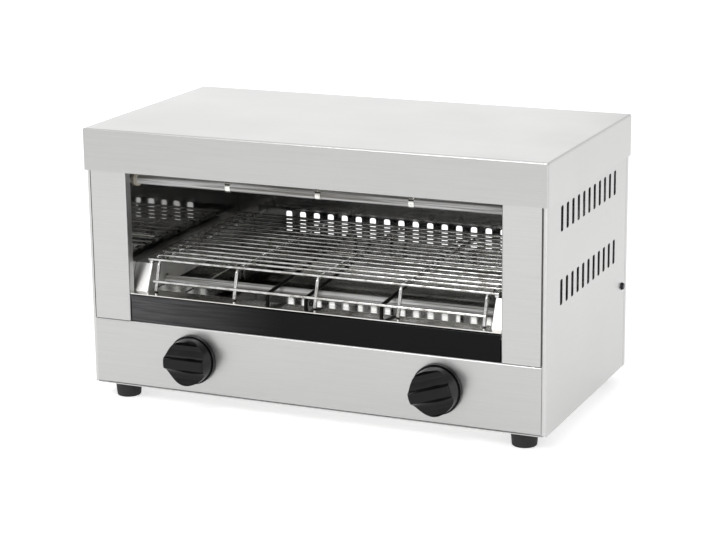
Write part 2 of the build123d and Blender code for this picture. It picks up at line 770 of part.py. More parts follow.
# Wire rack: rods bent down into the posts of a fence, with cross wires and two rails
with BuildPart() as wire_rack:
    with Locations(*[Plane(origin=(side * side_rod_x, rail_y, rod_top - side_rod_radius), z_dir=(0, 1, 0))
                     for side in (-1, 1)]):
        Cylinder(side_rod_radius, rack_end - rail_y, align=(Align.CENTER, Align.CENTER, Align.MIN))
    for number in range(post_count):
        x = (number - (post_count - 1) / 2) * post_pitch
        with BuildLine():
            post = FilletPolyline(
                (x, rack_end, post_z), (x, post_y, post_z), (x, post_foot_y, post_foot), radius=post_bend
            )
        with BuildSketch(Plane(origin=post @ 0, z_dir=(0, -1, 0))):
            Circle(post_radius)
        sweep(path=post)
    crosses = [(rail_y + cross_pitch * (number + 1), cross_z) for number in range(cross_count)]
    with BuildSketch(Plane.YZ):
        with Locations((rail_y, rail_z), *crosses):
            Circle(cross_radius)
    extrude(amount=rail_x, both=True)
    with BuildSketch(Plane.YZ):
        with Locations((mid_rail_y, mid_rail_z)):
            Circle(cross_radius)
    extrude(amount=mid_rail_x, both=True)
publish(wire_rack, "wire_rack")


def d_outline(play=0.0):
    """Round outline with a flat, of the spindle or of a bore with some play."""
    Circle(spindle_radius + play)
    with Locations((0, spindle_radius - spindle_flat + play)):
        Rectangle(2 * spindle_radius, spindle_radius, align=(Align.CENTER, Align.MIN), mode=Mode.SUBTRACT)


def knob(x, turn):
    """Round knob with a grip bar between two finger hollows, turned from level."""
    along = (cos(radians(turn)), 0, sin(radians(turn)))
    facing = Plane(origin=(x, knob_y, knob_z), x_dir=along, z_dir=(0, -1, 0))
    across = Plane(origin=(x, knob_y, knob_z), x_dir=(0, -1, 0), z_dir=along)
    with BuildPart() as body:
        with BuildSketch(facing):
            Circle(knob_waist)
        extrude(amount=knob_length, taper=knob_taper)
        fillet(body.faces().sort_by(Axis.Y)[0].edges(), knob_round)
        with BuildSketch(across):
            with Locations([
                (knob_length + knob_scoop_lift, side * (knob_grip / 2 + knob_scoop_radius))
                for side in (-1, 1)
            ]):
                Circle(knob_scoop_radius)
        extrude(amount=knob_radius, both=True, mode=Mode.SUBTRACT)
        with BuildSketch(facing):
            Circle(knob_radius)
        extrude(amount=knob_skirt)
        with BuildSketch(facing):
            Circle(knob_hollow_radius)
        extrude(amount=knob_hollow, mode=Mode.SUBTRACT)
        with BuildSketch(facing):
            d_outline(spindle_play)
        extrude(amount=knob_bore_depth, mode=Mode.SUBTRACT)
    return body


def spindle(x, turn):
    """Turning spindle, round in its bush and flattened in its knob."""
    along = (cos(radians(turn)), 0, sin(radians(turn)))
    facing = Plane(origin=(x, bush_y, knob_z), x_dir=along, z_dir=(0, -1, 0))
    with BuildPart() as rod:
        with BuildSketch(facing):
            Circle(spindle_radius)
        extrude(amount=bush_y - spindle_end)
        with BuildSketch(facing):
            d_outline()
        extrude(amount=bush_y - spindle_tip)
    return rod


def control(x, size, plate, length, columns):
    """Body behind the control panel: square plate, round works, bush in front and blades behind."""
    with BuildPart() as body:
        with BuildSketch(upright(behind_panel)):
            with Locations((x, knob_z)):
                RectangleRounded(size, size, plate_corner)
        extrude(amount=-plate)
        with BuildSketch(upright(behind_panel)):
            with Locations((x, knob_z)):
                Circle(works_radius)
        extrude(amount=-length)
        fillet(body.faces().sort_by(Axis.Y)[-1].edges(), works_round)
        with BuildSketch(upright(behind_panel)):
            with Locations((x, knob_z)):
                Circle(bush_radius)
        extrude(amount=bush_length)
        with BuildSketch(upright(bush_y)):
            with Locations((x, knob_z)):
                Circle(spindle_radius + spindle_play)
        extrude(amount=bush_y - spindle_end - spindle_short, mode=Mode.SUBTRACT)
        with BuildSketch(upright(behind_panel + length)):
            with Locations((x, knob_z)):
                with GridLocations(blade_spacing, blade_spacing, columns, 2):
                    Rectangle(blade_thick, blade_width)
        extrude(amount=-blade_length)
    return body


publish(knob(selector_x, selector_turn), "selector_knob")
publish(knob(timer_x, timer_turn), "timer_knob")
publish(spindle(selector_x, selector_turn), "selector_spindle")
publish(spindle(timer_x, timer_turn), "timer_spindle")
publish(control(selector_x, switch_size, switch_plate, switch_depth, 2), "selector_switch")
publish(control(timer_x, timer_size, timer_plate, timer_depth, 1), "timer")

# Nuts on the two bushes, in front of the control panel
with BuildPart() as bush_nuts:
    with BuildSketch(upright(face_y)):
        with Locations((selector_x, knob_z), (timer_x, knob_z)):
            RegularPolygon(nut_across / 2, 6, major_radius=False)
            Circle(bush_radius + small_clear, mode=Mode.SUBTRACT)
    extrude(amount=nut_height)
publish(bush_nuts, "bush_nuts")

# Terminal block on the base plate: a stepped bar with a row of screw wells along each side
with BuildPart() as terminal_block:
    with BuildSketch(Plane.XY.offset(base_z + sheet)):
        with Locations((terminal_x, terminal_y)):
            Rectangle(terminal_length, terminal_width)
    extrude(amount=terminal_height - terminal_step)
    with BuildSketch(Plane.XY.offset(base_z + sheet)):
        with Locations((terminal_x, terminal_y)):
            Rectangle(terminal_length, terminal_width - 2 * terminal_step)
    extrude(amount=terminal_height)
    with BuildSketch(Plane.XY.offset(base_z + sheet + terminal_height - terminal_step)):
        with Locations((terminal_x, terminal_y)):
            with GridLocations(terminal_pitch, terminal_width - terminal_step, terminal_ways, 2):
                Circle(terminal_well / 2)
    extrude(amount=-terminal_step, mode=Mode.SUBTRACT)
publish(terminal_block, "terminal_block")

# Grommet in the rear panel, where a supply cable enters
with BuildPart() as cable_grommet:
    with BuildSketch(upright(back_y + grommet_lip)):
        with Locations((cable_x, cable_z)):
            Circle(grommet_radius)
    extrude(amount=2 * grommet_lip + sheet)
    for lip_y in (back_y + grommet_lip, back_y - sheet):
        with BuildSketch(upright(lip_y)):
            with Locations((cable_x, cable_z)):
                Circle(grommet_radius + grommet_flare)
        extrude(amount=grommet_lip)
    fillet(cable_grommet.faces().sort_by(Axis.Y)[-1].edges(), grommet_lip / 2)
    with BuildSketch(upright(back_y + grommet_lip)):
        with Locations((cable_x, cable_z)):
            Circle(cable_radius)
    extrude(amount=2 * grommet_lip + sheet, mode=Mode.SUBTRACT)
publish(cable_grommet, "cable_grommet")

# Rubber feet, hollow below for the screw
for side, side_name in ((-1, "left"), (1, "right")):
    for y, end_name in zip(foot_y, ("front", "rear")):
        with BuildPart() as foot:
            with BuildSketch(Plane.XY.offset(base_z)):
                with Locations((side * foot_x, y)):
                    Circle(foot_radius)
            extrude(amount=-base_z, taper=foot_taper)
            fillet(foot.faces().sort_by(Axis.Z)[0].edges(), foot_round)
            with BuildSketch(Plane.XY):
                with Locations((side * foot_x, y)):
                    Circle(foot_well_radius)
            extrude(amount=foot_well, mode=Mode.SUBTRACT)
            with BuildSketch(Plane.XY):
                with Locations((side * foot_x, y)):
                    Circle(screw_hole)
            extrude(amount=base_z, mode=Mode.SUBTRACT)
        publish(foot, f"foot_{end_name}_{side_name}")

foot_seats = [
    Plane(origin=(side * foot_x, y, foot_well), z_dir=(0, 0, -1)) for side in (-1, 1) for y in foot_y
]
publish(screws(foot_seats, foot_screw_length), "foot_screws")

# Nuts on the foot screws, on the base plate
with BuildPart() as foot_nuts:
    with BuildSketch(Plane.XY.offset(base_z + sheet)):
        with Locations([(side * foot_x, y) for side in (-1, 1) for y in foot_y]):
            RegularPolygon(foot_nut / 2, 6, major_radius=False)
            Circle(screw_radius + small_clear, mode=Mode.SUBTRACT)
    extrude(amount=foot_nut_height)
publish(foot_nuts, "foot_nuts")

side_seats = [
    Plane(origin=(side * body_x, side_screw_y, side_screw_z), z_dir=(side, 0, 0)) for side in (-1, 1)
]
publish(screws(side_seats, screw_length), "side_screws")

rear_seats = [
    Plane(origin=(side * rear_screw_x, back_y, z), z_dir=(0, 1, 0)) for side in (-1, 1) for z in rear_screw_z
]
publish(screws(rear_seats, screw_length), "rear_screws")

hood_seats = [Plane(origin=(x, rear, hood_screw_z), z_dir=(0, 1, 0)) for x in hood_screw_x]
publish(screws(hood_seats, screw_length), "hood_screws")
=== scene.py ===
# %% [markdown]
# # A salamander toaster in stainless steel
# A salamander is a small open oven that browns food from above and below. This one is a casing of
# folded stainless sheet. Quartz tubes glow above and below a wire rack, crumbs fall into a tray, and
# two black knobs turn the heat and the time. The metalwork comes in finished from the drawing, so
# this lesson gives each sheet, wire and moulding its real surface and photographs the whole in a
# white studio.

# %% Load the metalwork
import math

import bpy
from mathutils import Matrix, Vector


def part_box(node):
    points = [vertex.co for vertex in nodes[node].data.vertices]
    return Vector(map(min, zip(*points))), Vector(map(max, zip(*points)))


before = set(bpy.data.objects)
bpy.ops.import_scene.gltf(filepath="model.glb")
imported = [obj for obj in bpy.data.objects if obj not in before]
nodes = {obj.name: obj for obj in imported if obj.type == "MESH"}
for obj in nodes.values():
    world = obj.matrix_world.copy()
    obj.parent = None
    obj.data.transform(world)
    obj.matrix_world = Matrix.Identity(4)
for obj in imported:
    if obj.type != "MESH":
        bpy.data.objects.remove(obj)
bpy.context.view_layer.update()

MM = 0.001

# %% [markdown]
# ## The camera first
# A photograph fixes three things: where the camera stood, where it pointed, and how long its lens
# was. The corners of the hood gave all three. The camera stood low and to the right, two metres
# away, which is why the sides hardly converge. It also leaned a touch, so the picture has a small
# roll. Setting the camera before anything else means that every later choice is judged in the
# same picture.

# %% Place the camera
PICTURE_WIDTH = 716
SENSOR = 36.0
FOCAL_PIXELS = 2176.0
CAMERA_TURN = math.radians(23.74)
CAMERA_DIP = math.radians(14.6)
CAMERA_ROLL = math.radians(-0.67)
CAMERA_PLACE = Vector((0.7943, -1.8044, 0.6313))

camera_data = bpy.data.cameras.new("camera")
camera_data.sensor_width = SENSOR
camera_data.lens = FOCAL_PIXELS / PICTURE_WIDTH * SENSOR
camera = bpy.data.objects.new("camera", camera_data)
bpy.context.scene.collection.objects.link(camera)
turn = Matrix.Rotation(CAMERA_TURN, 4, "Z") @ Matrix.Rotation(math.pi / 2 - CAMERA_DIP, 4, "X")
camera.matrix_world = Matrix.Translation(CAMERA_PLACE) @ turn @ Matrix.Rotation(CAMERA_ROLL, 4, "Z")
bpy.context.scene.camera = camera
print("lens", round(camera_data.lens, 1), "mm")

# %% [markdown]
# ## Small tools for materials
# Colours are written as the hex values that a picture editor shows. Blender calculates in linear
# light, so one function converts them. Another adds a node to a material with its settings and its
# links in one call, which keeps each recipe short enough to read. The third starts a material with
# its shader, and the last lays a finished material on pieces of the metalwork.

# %% Colour, node and material helpers
def linear(code):
    """The linear colour of an sRGB hex value such as '#c8c8c6'."""
    parts = [int(code[i:i + 2], 16) / 255 for i in (1, 3, 5)]
    return [c / 12.92 if c <= 0.04045 else ((c + 0.055) / 1.055) ** 2.4 for c in parts] + [1.0]


def add(tree, kind, values=None, links=None, **settings):
    """Adds a node. Values go to its sockets, links bring in other nodes' outputs."""
    node = tree.nodes.new(kind)
    for name, setting in settings.items():
        setattr(node, name, setting)
    for socket, value in (values or {}).items():
        node.inputs[socket].default_value = value
    for socket, source in (links or {}).items():
        tree.links.new(source, node.inputs[socket])
    return node


def surface(name, color, **values):
    """A material with one Principled shader. Returns the material, its tree and the shader."""
    material = bpy.data.materials.new(name)
    material.use_nodes = True
    tree = material.node_tree
    shader = tree.nodes["Principled BSDF"]
    shader.inputs["Base Color"].default_value = linear(color)
    for socket, value in values.items():
        shader.inputs[socket.replace("_", " ")].default_value = value
    return material, tree, shader


def wear(material, *names):
    """Gives pieces of the metalwork their material."""
    for name in names:
        nodes[name].data.materials.clear()
        nodes[name].data.materials.append(material)
    print(material.name, "on", ", ".join(names))


print("the middle grey #808080 is", round(linear("#808080")[0], 3), "in linear light")

# %% [markdown]
# ## Brushed stainless for the casing
# The casing is 1 mm stainless with a fine brushed grain. A belt drags grit along the sheet and
# leaves scratches that are centimetres long and a fraction of a millimetre wide. They could be
# modelled as relief, but they are far thinner than a pixel, so they are drawn by a noise that is
# stretched along the sheet, at 1.3 mm instead of 0.1 mm, as coarse as it needs to be to show. The
# noise moves the roughness and the tone and raises a shallow bump. A second, broad noise is the
# film that hands leave. On the side panels the sheet was cut the other way, so the grain follows
# the depth.

# %% Brushed stainless
SCRATCH_LENGTH = 60 * MM
SCRATCH_WIDTH = 1.3 * MM
SCRATCH_DEPTH = 0.1 * MM
SMUDGE = 90 * MM
SMUDGE_SHARE = 0.35
BRUSHED_ROUGHNESS = (0.27, 0.38)
BRUSHED_TONE = (0.96, 1.03)
NOISE_LOW = 0.3  # nearly all of a noise lies between these two
NOISE_HIGH = 0.7


def grain_size(along):
    """How much a noise is stretched for a grain along one axis: 0 is X, 1 is Y and 2 is Z."""
    stretch = [1 / SCRATCH_WIDTH] * 3
    stretch[along] = 1 / SCRATCH_LENGTH
    return stretch


def brushed(name, color, along, bump=0.05):
    """Brushed sheet with its grain along one axis. Two nodes are named, grain and shade."""
    material, tree, shader = surface(name, color, Metallic=1.0)
    place = add(tree, "ShaderNodeTexCoord").outputs["Object"]
    grain_place = add(tree, "ShaderNodeMapping", {"Scale": grain_size(along)}, {"Vector": place})
    grain = add(tree, "ShaderNodeTexNoise", {"Scale": 1.0, "Detail": 4.0, "Roughness": 0.6},
                {"Vector": grain_place.outputs["Vector"]}, name="grain")
    smudge = add(tree, "ShaderNodeTexNoise", {"Scale": 1 / SMUDGE, "Detail": 3.0}, {"Vector": place})
    mixed = add(tree, "ShaderNodeMix", {"Factor": SMUDGE_SHARE},
                {"A": grain.outputs["Fac"], "B": smudge.outputs["Fac"]}, data_type="FLOAT")
    polish = add(tree, "ShaderNodeMapRange",
                 {"From Min": NOISE_LOW, "From Max": NOISE_HIGH,
                  "To Min": BRUSHED_ROUGHNESS[0], "To Max": BRUSHED_ROUGHNESS[1]},
                 {"Value": mixed.outputs["Result"]})
    tree.links.new(polish.outputs["Result"], shader.inputs["Roughness"])
    shade = add(tree, "ShaderNodeHueSaturation", {"Color": linear(color)}, name="shade")
    tone = add(tree, "ShaderNodeMapRange",
               {"From Min": NOISE_LOW, "From Max": NOISE_HIGH,
                "To Min": BRUSHED_TONE[0], "To Max": BRUSHED_TONE[1]},
               {"Value": grain.outputs["Fac"]})
    tree.links.new(tone.outputs["Result"], shade.inputs["Value"])
    tree.links.new(shade.outputs["Color"], shader.inputs["Base Color"])
    relief = add(tree, "ShaderNodeBump", {"Strength": bump, "Distance": SCRATCH_DEPTH},
                 {"Height": grain.outputs["Fac"]})
    tree.links.new(relief.outputs["Normal"], shader.inputs["Normal"])
    return material


wear(brushed("brushed_stainless", "#bebebd", 0), "control_panel", "base_plate")
# The side panels are painted a lighter tone than the front and the control panel: painted light on the
# sides.
wear(brushed("brushed_stainless_side_painted_lighter", "#cbcbca", 1), "side_panel_left", "side_panel_right")

# %% [markdown]
# ## The hood's folded flanges
# The hood is one sheet that is folded down at its edges. On its two side flanges the fold turns the
# grain upright. The flanges are also painted lighter than the front, in the tone of the side panels
# below them, which are painted lighter than the front too: painted light, for the sides that catch
# more of it. A second piece for each flange would need a seam that the real hood doesn't have, so
# the material reads which way the sheet faces and changes there.

# %% Hood with its folded flanges
HOOD_FRONT = "#b8b8b7"
HOOD_SIDE_PAINTED_LIGHT = "#cdcdcc"
TURN_BEGINS = 0.6  # how far the sheet faces sideways, from 0 to 1
TURN_ENDS = 0.8
hood_steel = brushed("brushed_stainless_hood", HOOD_FRONT, 0)
tree = hood_steel.node_tree
grain = tree.nodes["grain"]
coordinates = add(tree, "ShaderNodeTexCoord")
facing = add(tree, "ShaderNodeSeparateXYZ", links={"Vector": coordinates.outputs["Normal"]})
sideways = add(tree, "ShaderNodeMath", links={0: facing.outputs["X"]}, operation="ABSOLUTE")
flange = add(tree, "ShaderNodeMapRange", {"From Min": TURN_BEGINS, "From Max": TURN_ENDS},
             {"Value": sideways.outputs[0]})
level = grain.inputs["Vector"].links[0].from_socket
upright = add(tree, "ShaderNodeMapping", {"Scale": grain_size(2)},
              {"Vector": coordinates.outputs["Object"]})
turned = add(tree, "ShaderNodeMix", data_type="VECTOR",
             links={"Factor": flange.outputs["Result"], "A": level, "B": upright.outputs["Vector"]})
tree.links.new(turned.outputs[1], grain.inputs["Vector"])
# The flanges that face sideways take the lighter tone: painted light, matching the side panels.
painted_lighter_flange = add(tree, "ShaderNodeMix", {"A": linear(HOOD_FRONT), "B": linear(HOOD_SIDE_PAINTED_LIGHT)},
             {"Factor": flange.outputs["Result"]}, data_type="RGBA")
tree.links.new(painted_lighter_flange.outputs[2], tree.nodes["shade"].inputs["Color"])
wear(hood_steel, "hood")

# %% [markdown]
# ## The seams beside the front frame
# The front frame meets the side panels in two long seams, and the narrow gap in each lies in shade.
# That shade could be a strip of its own, but it has no thickness, so it is painted: the outermost
# 0.9 mm of the frame turns dark, a painted shadow line.

# %% Front frame with its painted seam shadows
SEAM_SHADOW_WIDTH = 0.9 * MM
FRAME_TONE = "#c0c0bf"
PAINTED_SHADOW_TONE = "#4b4a48"
frame_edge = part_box("front_frame")[1][0]
frame_steel = brushed("brushed_stainless_frame", FRAME_TONE, 0)
tree = frame_steel.node_tree
place = add(tree, "ShaderNodeTexCoord").outputs["Object"]
across_front = add(tree, "ShaderNodeSeparateXYZ", links={"Vector": place})
outward = add(tree, "ShaderNodeMath", links={0: across_front.outputs["X"]}, operation="ABSOLUTE")
# The outermost strip of the frame is painted dark: a painted shadow in the seam.
seam = add(tree, "ShaderNodeMath", {1: frame_edge - SEAM_SHADOW_WIDTH}, {0: outward.outputs[0]},
           operation="GREATER_THAN")
painted_shadow = add(tree, "ShaderNodeMix", {"A": linear(FRAME_TONE), "B": linear(PAINTED_SHADOW_TONE)},
            {"Factor": seam.outputs[0]}, data_type="RGBA")
tree.links.new(painted_shadow.outputs[2], tree.nodes["shade"].inputs["Color"])
wear(frame_steel, "front_frame")
print("the seams are", round(frame_edge / MM, 1), "mm to each side of the middle")

# %% [markdown]
# ## The rear panel has two faces
# The rear panel also closes the oven. Outside it is brushed like the rest, inside it is smoother,
# and shows the rack and the bright tray as soft streaks. The two faces are 1 mm apart, so a step
# along the depth, in the middle of the sheet, tells them apart. The step swaps the roughness only.

# %% Rear panel
SHEET = 1 * MM
INSIDE_ROUGHNESS = 0.45  # as a share of the outer face's
REAR_BUMP = 0.02
rear_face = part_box("rear_panel")[1][1]
rear_steel = brushed("two_faced_rear_sheet", "#c3c3c2", 0, REAR_BUMP)
tree = rear_steel.node_tree
roughness = tree.nodes["Principled BSDF"].inputs["Roughness"]
outside_polish = roughness.links[0].from_socket
place = add(tree, "ShaderNodeTexCoord").outputs["Object"]
depth = add(tree, "ShaderNodeSeparateXYZ", links={"Vector": place})
outside = add(tree, "ShaderNodeMath", {1: rear_face - SHEET / 2}, {0: depth.outputs["Y"]},
              operation="GREATER_THAN")
inside_polish = add(tree, "ShaderNodeMath", {1: INSIDE_ROUGHNESS}, {0: outside_polish},
                    operation="MULTIPLY")
either = add(tree, "ShaderNodeMix", data_type="FLOAT",
             links={"Factor": outside.outputs[0], "A": inside_polish.outputs[0], "B": outside_polish})
tree.links.new(either.outputs["Result"], roughness)
wear(rear_steel, "rear_panel")
print("the outer face of the rear panel is at", round(rear_face / MM, 2), "mm")

# %% [markdown]
# ## Rolled sheet inside the oven
# The oven is lined with bright rolled sheet. Its walls are almost mirrors and double the row of
# rear slots. Two things keep them from being perfect: thin sheet is never quite flat, so what they
# show wavers, and heat leaves a brown film. A broad shallow bump gives the first, and two tones in
# soft patches give the second. The walls, the floor, the reflector and the tray guides are also
# painted darker than the sills and the covers: painted shade, for the inside of the oven lying in
# shade. The sills and the covers over the tube ends stay cleaner, because they are wiped: the sills
# are polished, the covers have a satin finish.

# %% Oven lining
WAVER = 45 * MM
WAVER_HEIGHT = 1 * MM
FILM = 70 * MM
PATCH_LOW = 0.35  # a narrower part of a noise gives patches with clear middles
PATCH_HIGH = 0.65


def lining(name, bright, stained, rough, waver=0.12):
    """Bright rolled sheet with a film of baked-on haze."""
    material, tree, shader = surface(name, bright, Metallic=1.0)
    place = add(tree, "ShaderNodeTexCoord").outputs["Object"]
    cloud = add(tree, "ShaderNodeTexNoise", {"Scale": 1 / FILM, "Detail": 5.0}, {"Vector": place})
    film = add(tree, "ShaderNodeMapRange", {"From Min": PATCH_LOW, "From Max": PATCH_HIGH},
               {"Value": cloud.outputs["Fac"]})
    tone = add(tree, "ShaderNodeMix", {"A": linear(bright), "B": linear(stained)},
               {"Factor": film.outputs["Result"]}, data_type="RGBA")
    tree.links.new(tone.outputs[2], shader.inputs["Base Color"])
    haze = add(tree, "ShaderNodeMapRange", {"To Min": rough[0], "To Max": rough[1]},
               {"Value": film.outputs["Result"]})
    tree.links.new(haze.outputs["Result"], shader.inputs["Roughness"])
    swell = add(tree, "ShaderNodeTexNoise", {"Scale": 1 / WAVER, "Detail": 1.0}, {"Vector": place})
    relief = add(tree, "ShaderNodeBump", {"Strength": waver, "Distance": WAVER_HEIGHT},
                 {"Height": swell.outputs["Fac"]})
    tree.links.new(relief.outputs["Normal"], shader.inputs["Normal"])
    return material


# Walls, floor, reflector and guides take darker tones: painted shade inside the oven, beside the heat film.
shaded_wall_steel = lining("mirror_rolled_steel_painted_shade", "#969695", "#7c7975", (0.03, 0.07))
shaded_oven_steel = lining("rolled_steel_painted_shade", "#a9a9a7", "#7c7974", (0.1, 0.2))
sill_steel = lining("polished_sill_steel", "#ececea", "#d2d0cb", (0.06, 0.14), 0.04)
cover_steel = lining("satin_cover_steel", "#f2f2f0", "#dedcd8", (0.3, 0.42))
wear(shaded_wall_steel, "inner_wall_left", "inner_wall_right")
wear(shaded_oven_steel, "oven_floor", "upper_reflector", "tray_guide_left", "tray_guide_right")
wear(sill_steel, "front_sill", "rear_sill")
wear(cover_steel, "tube_cover_left", "tube_cover_right")

# %% [markdown]
# ## The crumb tray
# The pan of the tray is bright sheet with the fine scratches of being wiped out. Its front plate
# is enamelled dark, so it reads as a black band under the oven. Both are one folded piece, so one
# material changes from the first finish to the second where the front plate begins. Toward its
# left end the enamel is painted a lighter grey, in streaks of the same noise as the pan's
# scratches: a painted sheen, for the light that the plate catches there.

# %% Tray steel with a dark front
PLATE_DEPTH = 3 * MM
SHEEN_END = -20 * MM
WIPE_LENGTH = 50 * MM
WIPE_WIDTH = 2 * MM
WIPED_ROUGHNESS = (0.05, 0.14)
tray_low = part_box("crumb_tray")[0]
plate_back = tray_low[1] + 2 * PLATE_DEPTH
tray_steel, tree, shader = surface("wiped_tray_steel", "#d8d8d6", Specular_IOR_Level=0.12)
place = add(tree, "ShaderNodeTexCoord").outputs["Object"]
along = add(tree, "ShaderNodeSeparateXYZ", links={"Vector": place})
front_plate = add(tree, "ShaderNodeMapRange",
                  {"From Min": tray_low[1] + PLATE_DEPTH, "From Max": plate_back,
                   "To Min": 1.0, "To Max": 0.0}, {"Value": along.outputs["Y"]})
wipe_place = add(tree, "ShaderNodeMapping", {"Scale": (1 / WIPE_LENGTH, 1 / WIPE_WIDTH, 1 / WIPE_WIDTH)},
                 {"Vector": place})
wipe_and_sheen_streaks = add(tree, "ShaderNodeTexNoise", {"Scale": 1.0, "Detail": 4.0},
            {"Vector": wipe_place.outputs["Vector"]})
pan = add(tree, "ShaderNodeMix", {"A": linear("#dededc"), "B": linear("#bcbbb7")},
          {"Factor": wipe_and_sheen_streaks.outputs["Fac"]}, data_type="RGBA")
# A painted sheen: the front plate turns grey toward its left end, in streaks.
painted_sheen = add(tree, "ShaderNodeMapRange", {"From Min": SHEEN_END, "From Max": tray_low[0]},
            {"Value": along.outputs["X"]}, interpolation_type="SMOOTHSTEP")
streaked = add(tree, "ShaderNodeMath", links={0: painted_sheen.outputs["Result"], 1: wipe_and_sheen_streaks.outputs["Fac"]},
               operation="MULTIPLY")
enamel = add(tree, "ShaderNodeMix", {"A": linear("#070708"), "B": linear("#707072")},
             {"Factor": streaked.outputs[0]}, data_type="RGBA")
both = add(tree, "ShaderNodeMix", data_type="RGBA",
           links={"Factor": front_plate.outputs["Result"], "A": pan.outputs[2], "B": enamel.outputs[2]})
tree.links.new(both.outputs[2], shader.inputs["Base Color"])
metal = add(tree, "ShaderNodeMapRange", {"To Min": 1.0, "To Max": 0.0},
            {"Value": front_plate.outputs["Result"]})
tree.links.new(metal.outputs["Result"], shader.inputs["Metallic"])
smooth = add(tree, "ShaderNodeMapRange",
             {"From Min": NOISE_LOW, "From Max": NOISE_HIGH,
              "To Min": WIPED_ROUGHNESS[0], "To Max": WIPED_ROUGHNESS[1]},
             {"Value": wipe_and_sheen_streaks.outputs["Fac"]})
tree.links.new(smooth.outputs["Result"], shader.inputs["Roughness"])
wear(tray_steel, "crumb_tray")
print("the front plate ends", round(plate_back / MM, 1), "mm along Y")

# %% [markdown]
# ## Wire, rods and small metal
# The rack is steel wire with a bright plating, dulled in small spots where it has been hot. The
# guard rods sit right over the lower tubes, under the rack, and are coloured almost black: painted
# shade, for the shadow they lie in, with a fine scale. Clips, brackets, screws, nuts and rivets
# are plated or bare, and have dulled in spots too.
# All of them are one recipe with other numbers: two tones in spots, a roughness that follows them
# and a fine grain.

# %% Wire and small metal
SPOT_LOW = 0.45
SPOT_HIGH = 0.68
METAL_GRAIN_DEPTH = 0.05 * MM


def dulled_metal(name, clean, spotted, spot, rough, grain, bump):
    """Wire or small metal that has dulled in spots. The spot and the grain are in millimetres."""
    material, tree, shader = surface(name, clean, Metallic=1.0)
    place = add(tree, "ShaderNodeTexCoord").outputs["Object"]
    spots = add(tree, "ShaderNodeTexNoise", {"Scale": 1 / (spot * MM), "Detail": 4.0}, {"Vector": place})
    dulled = add(tree, "ShaderNodeMapRange", {"From Min": SPOT_LOW, "From Max": SPOT_HIGH},
                 {"Value": spots.outputs["Fac"]})
    tone = add(tree, "ShaderNodeMix", {"A": linear(clean), "B": linear(spotted)},
               {"Factor": dulled.outputs["Result"]}, data_type="RGBA")
    tree.links.new(tone.outputs[2], shader.inputs["Base Color"])
    matt = add(tree, "ShaderNodeMapRange", {"To Min": rough[0], "To Max": rough[1]},
               {"Value": dulled.outputs["Result"]})
    tree.links.new(matt.outputs["Result"], shader.inputs["Roughness"])
    scale = add(tree, "ShaderNodeTexNoise", {"Scale": 1 / (grain * MM), "Detail": 2.0}, {"Vector": place})
    relief = add(tree, "ShaderNodeBump", {"Strength": bump, "Distance": METAL_GRAIN_DEPTH},
                 {"Height": scale.outputs["Fac"]})
    tree.links.new(relief.outputs["Normal"], shader.inputs["Normal"])
    return material


wear(dulled_metal("bright_plated_wire", "#d2d2d1", "#95928d", 9, (0.1, 0.3), 1.2, 0.15), "wire_rack")
# The guard rods are drawn almost black: painted shade under the rack.
wear(dulled_metal("shade_darkened_wire", "#1e1d1c", "#3a3531", 6, (0.35, 0.6), 0.8, 0.5), "guard_rods")
wear(dulled_metal("spring_steel_strip", "#efefec", "#c5c2ba", 5, (0.12, 0.25), 1.0, 0.1), "tube_clips")
wear(dulled_metal("zinc_plated_steel", "#a9adb0", "#8f9190", 8, (0.35, 0.5), 2.0, 0.2),
     "corner_bracket_left", "corner_bracket_right")
wear(dulled_metal("zinc_plated_fasteners", "#b9bcbd", "#9d9e97", 3, (0.25, 0.42), 0.6, 0.2),
     "foot_screws", "foot_nuts", "rear_screws", "hood_screws", "tube_terminals")
wear(dulled_metal("plain_aluminium_rivets", "#c2c2c0", "#a5a5a1", 2, (0.3, 0.45), 0.5, 0.3), "rivets")
wear(dulled_metal("plated_brass_nuts", "#c9b47c", "#a8935f", 3, (0.22, 0.4), 0.6, 0.2), "bush_nuts")
wear(dulled_metal("blackened_screws", "#222225", "#3c3c40", 2, (0.3, 0.5), 0.5, 0.3), "side_screws")

# %% [markdown]
# ## Turned spindles
# The spindles are turned on a lathe, and the tool leaves rings round them. A wave texture that runs
# along the spindle draws the rings, at 0.7 mm instead of the real 0.1 mm, so that they show at all.

# %% Turned steel
RING_PITCH = 0.7 * MM
RING_DEPTH = 0.05 * MM


def wave_scale(pitch):
    """The scale at which a wave texture repeats once in each pitch."""
    return math.tau / 20 / pitch


turned_steel, tree, shader = surface("turned_steel", "#b4b4b5", Metallic=1.0, Roughness=0.3)
place = add(tree, "ShaderNodeTexCoord").outputs["Object"]
rings = add(tree, "ShaderNodeTexWave", {"Scale": wave_scale(RING_PITCH), "Distortion": 0.4},
            {"Vector": place}, bands_direction="Y")
relief = add(tree, "ShaderNodeBump", {"Strength": 0.3, "Distance": RING_DEPTH},
             {"Height": rings.outputs["Fac"]})
tree.links.new(relief.outputs["Normal"], shader.inputs["Normal"])
wear(turned_steel, "selector_spindle", "timer_spindle")

# %% [markdown]
# ## Milky quartz
# The heating tubes are drawn from opaque quartz full of tiny bubbles, which lie in lines along the
# tube. So the glass is milky and streaked lengthwise, glossy on top, and lets a little light
# through. A noise that is stretched along the tube gives the streaks to its colour and roughness.
# They are 2 mm wide, coarser than real ones, so that they show on so thin a tube.

